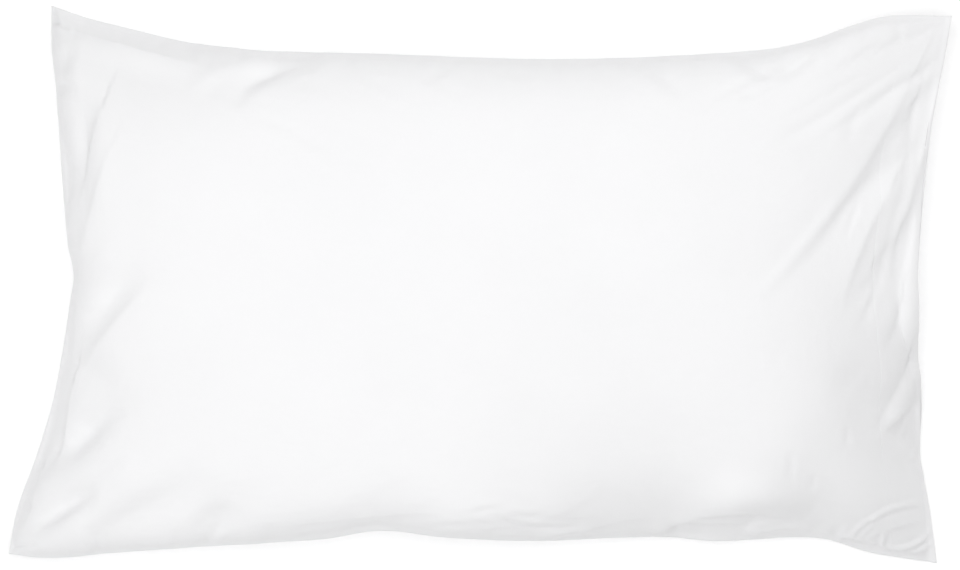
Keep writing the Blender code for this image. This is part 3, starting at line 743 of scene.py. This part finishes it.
def settle(settings, cloth):
    """How far the cloth moves as it settles: the shares of its rows, and each panel's moves."""
    along = spaced(settings.flat_length, cloth.cell)
    across = spaced(settings.flat_width, cloth.cell)
    front = lay_panel(along, across, 1, settings, FRONT_FOLDS)
    back = lay_panel(along, across, -1, settings, BACK_FOLDS)
    n, m = len(along), len(across)
    inner = (slice(1, -1), slice(1, -1))
    front_ids, back_ids = numbered(n, m, inner)
    points = np.concatenate([front.reshape(-1, 3), back[inner].reshape(-1, 3)])
    faces = np.concatenate([quads(front_ids, True), quads(back_ids, False)])

    plan = plan_of(along, across)
    to_edge = np.minimum.reduce(edge_distances(along, across))
    loose = SEAM_SLACK * np.exp(-to_edge / SLACK_REACH) + near_spots(plan, "extra")
    most = loose.max()
    slack = np.concatenate([loose.ravel(), loose[inner].ravel()]) / most
    held = cloth.hold + near_spots(plan, "hold")
    held[0] = held[-1] = 1
    held[:, 0] = held[:, -1] = 1
    on_floor = np.where(back[inner][..., 2] < RESTING, 1.0, held[inner])
    held = np.concatenate([held.ravel(), on_floor.ravel()])

    bag = add_object("settling", mesh_from("settling", points, faces))
    for name, weights in (("held", held), ("loose", slack)):
        group = bag.vertex_groups.new(name=name)
        for index, weight in enumerate(weights.tolist()):
            group.add([index], weight, "REPLACE")
    modifier = bag.modifiers.new("settling", "CLOTH")
    modifier.collision_settings.use_collision = False
    rules = modifier.settings
    rules.quality = 5
    rules.mass = 0.1
    rules.tension_stiffness = 15
    rules.compression_stiffness = 15
    rules.shear_stiffness = 5
    rules.bending_stiffness = cloth.bending
    rules.vertex_group_mass = "held"
    rules.pin_stiffness = 1
    rules.vertex_group_shrink = "loose"
    rules.shrink_min = 0
    rules.shrink_max = -most
    rules.use_pressure = True
    rules.uniform_pressure_force = cloth.pressure
    rules.effector_weights.gravity = 0
    scene = bpy.context.scene
    scene.frame_start, scene.frame_end = 1, cloth.steps
    for step in range(1, cloth.steps + 1):
        scene.frame_set(step)
    settled = bag.evaluated_get(bpy.context.evaluated_depsgraph_get())
    places = np.zeros(len(points) * 3)
    settled.data.vertices.foreach_get("co", places)
    scene.frame_set(1)
    bpy.data.objects.remove(bag)

    moves = places.reshape(-1, 3) - points
    moved = np.linalg.norm(moves, axis=1, keepdims=True)
    moves *= cloth.reach / np.maximum(moved, 1e-9) * np.tanh(moved / cloth.reach)
    front_moves = moves[: n * m].reshape(n, m, 3)
    back_moves = np.zeros((n, m, 3))
    back_moves[inner] = moves[n * m :].reshape(n - 2, m - 2, 3)
    return along, across, front_moves, back_moves


def weights_between(known, wanted):
    """A matrix that carries values at known shares to wanted ones along a Catmull-Rom curve."""
    matrix = np.zeros((len(wanted), len(known)))
    last = len(known) - 1
    i = np.clip(np.searchsorted(known, wanted, side="right") - 1, 0, last - 1)
    t = (wanted - known[i]) / (known[i + 1] - known[i])
    rows = np.arange(len(wanted))
    for offset, weight in (
        (-1, -0.5 * t + t**2 - 0.5 * t**3),
        (0, 1 - 2.5 * t**2 + 1.5 * t**3),
        (1, 0.5 * t + 2 * t**2 - 1.5 * t**3),
        (2, -0.5 * t**2 + 0.5 * t**3),
    ):
        np.add.at(matrix, (rows, np.clip(i + offset, 0, last)), weight)
    return matrix


# ---- The finished case ----
def case_shares(settings):
    """Shares of the length and width of the finished mesh's rows: closer at the seams and hem."""
    length, width = settings.flat_length, settings.flat_width
    along = spaced(length, settings.cell, settings.crowding)
    across = spaced(width, settings.cell, settings.crowding)
    near = SEAM_ROWS * MM
    hem = 1 - (settings.hem_depth + HEM_ROWS * MM) / length
    by_hem = np.abs(along - hem[2]) < HEM_CLEAR * MM / length
    by_seam = (along > 0) & (along < SEAM_CLEAR * MM / length)
    along = along[~by_hem & ~by_seam]
    along = np.sort(np.concatenate([along, near / length, 1 - near[:2] / length, hem]))
    off_seams = np.minimum(across, 1 - across) > SEAM_CLEAR * MM / width
    across = across[(across == 0) | (across == 1) | off_seams]
    across = np.sort(np.concatenate([across, near / width, 1 - near / width]))
    return along, across


def build_case(settings, cloth):
    """The finished panels: the shares of their rows, and the front and the back as grids."""
    along, across = case_shares(settings)
    front = lay_panel(along, across, 1, settings, FRONT_FOLDS, settings.seam_lip)
    back = lay_panel(along, across, -1, settings, BACK_FOLDS, settings.seam_lip)
    laid_along, laid_across, front_moves, back_moves = settle(settings, cloth)
    lengthwise = weights_between(laid_along, along)
    crosswise = weights_between(laid_across, across)
    for panel, moves in ((front, front_moves), (back, back_moves)):
        panel += np.einsum("ai,bj,ijk->abk", lengthwise, crosswise, moves, optimize=True)
    back[..., 2] = np.maximum(back[..., 2], 0)
    plan = plan_of(along, across)
    to_edge = np.minimum.reduce(edge_distances(along, across)[:3])
    off_seam = np.clip(to_edge / (GROOVE_PLACE * MM), 0, 1)
    from_groove = (to_edge - GROOVE_PLACE * MM) / (GROOVE_WIDTH * MM)
    seam_groove = -SEAM_GROOVE * MM * np.exp(-(from_groove**2))
    hem = hem_relief(along, settings)[:, None]
    lift = relief(plan, FRONT_CREASES + gathers(FRONT_SEED)) + seam_groove + hem
    front += normals_of(front) * (lift * off_seam)[..., None]
    lift = relief(plan, gathers(BACK_SEED)) + seam_groove + hem
    clear = np.clip(back[..., 2] / (FLOOR_CLEAR * MM), 0, 1)
    back -= normals_of(back) * (lift * off_seam * clear)[..., None]
    back[..., 2] = np.maximum(back[..., 2], 0)
    return along, across, front, back


def turned_in(along, across, front, back, settings):
    """Each hem's rows past its edge: half a turn about its middle ply, then in to the pillow."""
    thick = settings.hem_thickness
    outwards = front[-1] - front[-2]
    outwards[:, 2] = 0
    outwards /= np.linalg.norm(outwards, axis=1, keepdims=True)
    inset = HEM_INSET * MM / settings.flat_width
    inwards = weights_between(across, inset + across * (1 - 2 * inset))
    depths = HEM_DEPTHS * MM
    nearest = [np.argmin(np.abs(along - (1 - depth / settings.flat_length))) for depth in depths]
    hems = []
    for face, panel in ((1, front), (-1, back)):
        rows = []
        for turn in HEM_TURNS:
            row = panel[-1] + outwards * (0.5 * thick * math.sin(math.pi * turn))
            row[:, 2] -= face * thick * (0.5 - 0.5 * math.cos(math.pi * turn))
            rows.append(row)
        for depth, k in zip(depths, nearest):
            share = (depth / depths[-1]) ** 2
            row = panel[k] * (1 - share) + (front[k] + back[k]) / 2 * share
            row[:, 2] -= face * thick * (1 - share)
            rows.append(inwards @ row)
        hems.append(rows)
    for front_row, back_row in zip(*hems):
        joined = (front_row[[0, -1]] + back_row[[0, -1]]) / 2
        front_row[[0, -1]] = back_row[[0, -1]] = joined
    return hems


def assemble(along, across, front, back, settings):
    """One closed mesh of the two panels: its points, its faces, and each face corner's flat place.

    The panels share their edges at the sides and the closed end. At the mouth they turn in, and
    the last rows of their hems are one.
    """
    n, m = len(along), len(across)
    own = (slice(1, None), slice(1, -1))
    points = [front.reshape(-1, 3), back[own].reshape(-1, 3)]
    front_ids, back_ids = numbered(n, m, own)
    count = sum(len(part) for part in points)

    front_lines, back_lines = [front_ids[-1]], [back_ids[-1]]
    hems = turned_in(along, across, front, back, settings)
    for k, (front_row, back_row) in enumerate(zip(*hems)):
        front_line = count + np.arange(m)
        points.append(front_row)
        count += m
        back_line = front_line.copy()
        if k < len(hems[0]) - 1:
            back_line[1:-1] = count + np.arange(m - 2)
            points.append(back_row[1:-1])
            count += m - 2
        front_lines.append(front_line)
        back_lines.append(back_line)

    # the flat places, in metres: each panel, and past its edge the part that is turned in
    length, width = settings.flat_length, settings.flat_width
    round_edge = HEM_ARC * np.arange(len(HEM_TURNS) + 1)
    turned = length + CUT_SPACE + np.concatenate([round_edge, HEM_DEPTHS]) * MM
    faces, flat = [], []
    for grid, lines, up, shift in (
        (front_ids, front_lines, True, 0),
        (back_ids, back_lines, False, width + 2 * CUT_SPACE),
    ):
        crosswise = across * width + shift + CUT_SPACE
        for rows, ids in ((along * length, grid), (turned, np.array(lines))):
            faces.append(quads(ids, up))
            places = np.stack(np.meshgrid(rows + CUT_SPACE, crosswise, indexing="ij"), axis=-1)
            corners = quads(np.arange(ids.size).reshape(ids.shape), up)
            flat.append(places.reshape(-1, 2)[corners])
    return np.concatenate(points), np.concatenate(faces), np.concatenate(flat) / SHEET


def stitch_line(panel, along, face, settings):
    """Points and faces of a row of stitches: short rounded bars of thread in the hem's groove."""
    row = np.argmin(np.abs(along - (1 - settings.hem_depth / settings.flat_length)))
    line = panel[row]
    normals = normals_of(panel)[row] * face
    steps = np.linalg.norm(np.diff(line, axis=0), axis=1)
    travelled = np.concatenate([[0], np.cumsum(steps)])

    def on_line(values, distance):
        return np.array([np.interp(distance, travelled, values[:, k]) for k in range(3)])

    radius = settings.thread / 2
    pitch = settings.stitch_pitch
    sides = range(STITCH_SIDES)
    rings = range(len(STITCH_RINGS) - 1)
    points, faces = [], []
    for index in range(int((travelled[-1] - 2 * STITCH_MARGIN) / pitch)):
        first = len(points)
        for ring in STITCH_RINGS:
            at = STITCH_MARGIN + index * pitch + ring.share * pitch * STITCH_LENGTH
            centre = on_line(line, at)
            up = on_line(normals, at)
            ahead = on_line(line, at + LOOK_AHEAD)
            run = (ahead - centre) / np.linalg.norm(ahead - centre)
            side = np.cross(up, run)
            for k in sides:
                angle = 2 * math.pi * k / STITCH_SIDES
                above = up * radius * (ring.lift + ring.size * math.sin(angle))
                points.append(centre + above + side * radius * ring.size * math.cos(angle))
        for ring in rings:
            for k in sides:
                a = first + ring * STITCH_SIDES + k
                b = first + ring * STITCH_SIDES + (k + 1) % STITCH_SIDES
                faces.append((a, b, b + STITCH_SIDES, a + STITCH_SIDES))
        last = first + len(rings) * STITCH_SIDES
        faces.append(tuple(first + k for k in reversed(sides)))
        faces.append(tuple(last + k for k in sides))
    return points, faces


# ---- Materials ----
def add_node(tree, kind, inputs=(), links=(), **settings):
    """A node with its settings, input values {socket: value} and links {socket: output}."""
    node = tree.nodes.new(kind)
    for name, value in settings.items():
        setattr(node, name, value)
    for socket, value in dict(inputs).items():
        node.inputs[socket].default_value = value
    for socket, output in dict(links).items():
        tree.links.new(output, node.inputs[socket])
    return node


def new_material(name):
    """A material whose nodes are still to be added."""
    material = bpy.data.materials.new(name)
    material.use_nodes = True
    material.node_tree.nodes.clear()
    return material


def percale(white):
    """White cotton percale: bleached, plainly woven, washed and unironed.

    The weave leaves it matt, with a faint sheen of fibre ends at grazing angles and threads that
    are not quite even. Washing leaves it softly rumpled all over.
    """
    material = new_material("white cotton percale, plain woven")
    tree = material.node_tree
    # the flat cloth in metres, so that the threads run along and across each panel
    place = add_node(tree, "ShaderNodeUVMap", uv_map="OFBake")
    cloth = add_node(
        tree,
        "ShaderNodeVectorMath",
        {1: (SHEET, SHEET, 1.0)},
        {0: place.outputs["UV"]},
        operation="MULTIPLY",
    )
    flat = cloth.outputs["Vector"]

    # the weave: a wave along each axis, whose product stands up where a thread passes over
    axes = add_node(tree, "ShaderNodeSeparateXYZ", links={"Vector": flat})
    waves = []
    for axis in ("X", "Y"):
        turns = add_node(
            tree,
            "ShaderNodeMath",
            {1: 2 * math.pi / THREAD_SPACING / MM},
            {0: axes.outputs[axis]},
            operation="MULTIPLY",
        )
        wave = add_node(tree, "ShaderNodeMath", links={0: turns.outputs[0]}, operation="SINE")
        waves.append(wave.outputs[0])
    weave = add_node(tree, "ShaderNodeMath", links={0: waves[0], 1: waves[1]}, operation="MULTIPLY")

    # the slubs: long thin spots along the warp, and as many along the weft
    spots = []
    for scale in (SLUBS, SLUBS[::-1]):
        drawn_out = add_node(tree, "ShaderNodeMapping", {"Scale": (*scale, 1.0)}, {"Vector": flat})
        spot = add_node(
            tree,
            "ShaderNodeTexNoise",
            {"Scale": 1.0, "Detail": 2.0},
            {"Vector": drawn_out.outputs[0]},
        )
        spots.append(spot.outputs["Fac"])
    slubs = add_node(tree, "ShaderNodeMath", links={0: spots[0], 1: spots[1]}, operation="ADD")

    uneven = []
    for scale, detail, roughness, distortion in (RUMPLES, CRINKLE, TONE):
        noise = add_node(
            tree,
            "ShaderNodeTexNoise",
            {"Scale": scale, "Detail": detail, "Roughness": roughness, "Distortion": distortion},
            {"Vector": flat},
        )
        uneven.append(noise.outputs["Fac"])
    rumples, crinkle, tone = uneven

    # each relief stands on the one before it, from the largest to the finest, with its depth in mm
    normal = {}
    for height, strength, depth in (
        (rumples, 0.35, 2.2),
        (crinkle, 0.3, 0.45),
        (slubs.outputs[0], 0.3, 0.08),
        (weave.outputs[0], 0.3, 0.08),
    ):
        bump = add_node(
            tree,
            "ShaderNodeBump",
            {"Strength": strength, "Distance": depth * MM},
            {"Height": height, **normal},
        )
        normal = {"Normal": bump.outputs["Normal"]}

    # bleached cotton is a hair uneven in whiteness where the cloth is thicker
    shade = add_node(tree, "ShaderNodeValToRGB", links={"Fac": tone})
    thick, thin = shade.color_ramp.elements
    thick.position = 0.3
    thick.color = [channel * THICK_TONE for channel in white[:3]] + [1.0]
    thin.position = 0.7
    thin.color = white
    shader = add_node(
        tree,
        "ShaderNodeBsdfPrincipled",
        {
            "Roughness": 0.85,
            "IOR": 1.5,
            "Specular IOR Level": 0.25,
            "Sheen Weight": 0.12,
            "Sheen Roughness": 0.5,
        },
        {"Base Color": shade.outputs["Color"], **normal},
    )
    add_node(tree, "ShaderNodeOutputMaterial", links={"Surface": shader.outputs["BSDF"]})
    return material


def sewing_thread(white):
    """White spun polyester sewing thread, plied: a soft shine on a twist of uneven bands."""
    material = new_material("white spun polyester thread, plied")
    tree = material.node_tree
    place = add_node(tree, "ShaderNodeTexCoord")
    plies = add_node(
        tree,
        "ShaderNodeTexNoise",
        {"Scale": PLIES, "Detail": 2.0},
        {"Vector": place.outputs["Object"]},
    )
    twisted = add_node(
        tree,
        "ShaderNodeBump",
        {"Strength": 0.4, "Distance": 0.08 * MM},
        {"Height": plies.outputs["Fac"]},
    )
    shader = add_node(
        tree,
        "ShaderNodeBsdfPrincipled",
        {"Base Color": white, "Roughness": 0.55, "IOR": 1.5, "Sheen Weight": 0.1},
        {"Normal": twisted.outputs["Normal"]},
    )
    add_node(tree, "ShaderNodeOutputMaterial", links={"Surface": shader.outputs["BSDF"]})
    return material


def paper(white):
    """Matt white paper, calendered: smooth, without gloss, and bright enough to lose its edges."""
    material = new_material("matt white paper, calendered")
    tree = material.node_tree
    shader = add_node(
        tree,
        "ShaderNodeBsdfPrincipled",
        {
            "Base Color": white,
            "Roughness": 0.95,
            "Emission Color": white,
            "Emission Strength": 0.15,
        },
    )
    add_node(tree, "ShaderNodeOutputMaterial", links={"Surface": shader.outputs["BSDF"]})
    return material


# ---- Operators ----
class PILLOWCASE_OT_filled_case(bpy.types.Operator):
    """Build the case over its pillow, from the closed end to the turned-in hems of the mouth"""

    bl_idname = "pillowcase.filled_case"
    bl_label = "Filled Case"

    def execute(self, context):
        settings = context.scene.pillowcase_case
        panels = build_case(settings, context.scene.pillowcase_cloth)
        PANELS[NODE] = panels
        points, faces, flat = assemble(*panels, settings)
        mesh = mesh_from("filled_case", points, faces)
        set_uv(mesh, flat)
        mesh.shade_smooth()
        mesh.materials.append(percale(context.scene.pillowcase_look.cloth))
        case = add_object("filled_case", mesh)
        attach(case, BODY)
        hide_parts(NODE)
        return {"FINISHED"}


class PILLOWCASE_OT_hem_stitches(bpy.types.Operator):
    """Sew the two hems of the mouth with a row of stitches each"""

    bl_idname = "pillowcase.hem_stitches"
    bl_label = "Hem Stitches"

    def execute(self, context):
        if NODE not in PANELS:
            raise RuntimeError("The stitches lie on the case, so the filled case is built first.")
        settings = context.scene.pillowcase_case
        along, _, front, back = PANELS[NODE]
        points, faces = [], []
        for panel, face in ((front, 1), (back, -1)):
            row_points, row_faces = stitch_line(panel, along, face, settings)
            faces += [tuple(corner + len(points) for corner in row) for row in row_faces]
            points += row_points
        mesh = bpy.data.meshes.new("hem_stitches")
        mesh.from_pydata([tuple(point) for point in points], [], faces)
        mesh.shade_smooth()
        mesh.materials.append(sewing_thread(context.scene.pillowcase_look.thread))
        stitches = add_object("hem_stitches", mesh)
        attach(stitches, BODY)
        return {"FINISHED"}


class PILLOWCASE_OT_stage(bpy.types.Operator):
    """Lay the floor, hang the lights and set up the camera above the case"""

    bl_idname = "pillowcase.stage"
    bl_label = "Stage"

    def execute(self, context):
        scene = context.scene
        square = ((-1, -1), (1, -1), (1, 1), (-1, 1))
        corners = [(x * FLOOR_REACH, y * FLOOR_REACH, 0) for x, y in square]
        floor_mesh = bpy.data.meshes.new("floor")
        floor_mesh.from_pydata(corners, [], [(0, 1, 2, 3)])
        floor_mesh.materials.append(paper(scene.pillowcase_look.floor))
        floor = add_object("floor", floor_mesh)

        scene.world = bpy.data.worlds.new("studio")
        scene.world.use_nodes = True
        background = scene.world.node_tree.nodes["Background"]
        background.inputs["Color"].default_value = (1, 1, 1, 1)
        background.inputs["Strength"].default_value = SURROUND
        for lamp in LAMPS:
            light = bpy.data.lights.new(lamp.name, "AREA")
            light.size = lamp.size
            light.energy = lamp.power
            holder = add_object(lamp.name, light)
            holder.location = lamp.place
            towards = Vector(LAMPS_AIM) - Vector(lamp.place)
            holder.rotation_euler = towards.to_track_quat("-Z", "Y").to_euler()

        lens = bpy.data.cameras.new("camera")
        lens.sensor_width = SENSOR
        lens.lens = SENSOR * CAMERA_DISTANCE / VIEW_WIDTH
        lens.clip_end = CAMERA_SEES
        camera = add_object("camera", lens)
        x, y, z = VIEW_MIDDLE
        camera.location = (x, y, z + CAMERA_DISTANCE)
        scene.camera = camera
        scene.view_settings.view_transform = "Standard"
        return {"FINISHED"}


OPERATORS = (PILLOWCASE_OT_filled_case, PILLOWCASE_OT_hem_stitches, PILLOWCASE_OT_stage)
GROUPS = {
    "pillowcase_case": CaseSettings,
    "pillowcase_cloth": ClothSettings,
    "pillowcase_look": LookSettings,
}


class PILLOWCASE_PT_parts(bpy.types.Panel):
    """The settings, and below them the case's parts in the order they are made"""

    bl_label = "Filled Pillowcase"
    bl_space_type = "VIEW_3D"
    bl_region_type = "UI"
    bl_category = "Pillowcase"

    def draw(self, context):
        for name, group in GROUPS.items():
            box = self.layout.box()
            for row in group.__annotations__:
                box.prop(getattr(context.scene, name), row)
        for operator in OPERATORS:
            self.layout.operator(operator.bl_idname)


def register():
    for cls in (*GROUPS.values(), *OPERATORS, PILLOWCASE_PT_parts):
        bpy.utils.register_class(cls)
    for name, group in GROUPS.items():
        setattr(bpy.types.Scene, name, PointerProperty(type=group))


def unregister():
    for name in GROUPS:
        delattr(bpy.types.Scene, name)
    for cls in (PILLOWCASE_PT_parts, *reversed(OPERATORS), *reversed(GROUPS.values())):
        bpy.utils.unregister_class(cls)


def main():
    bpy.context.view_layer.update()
    register()
    bpy.ops.pillowcase.filled_case()
    bpy.ops.pillowcase.hem_stitches()
    bpy.ops.pillowcase.stage()


if __name__ == "__main__":
    main()
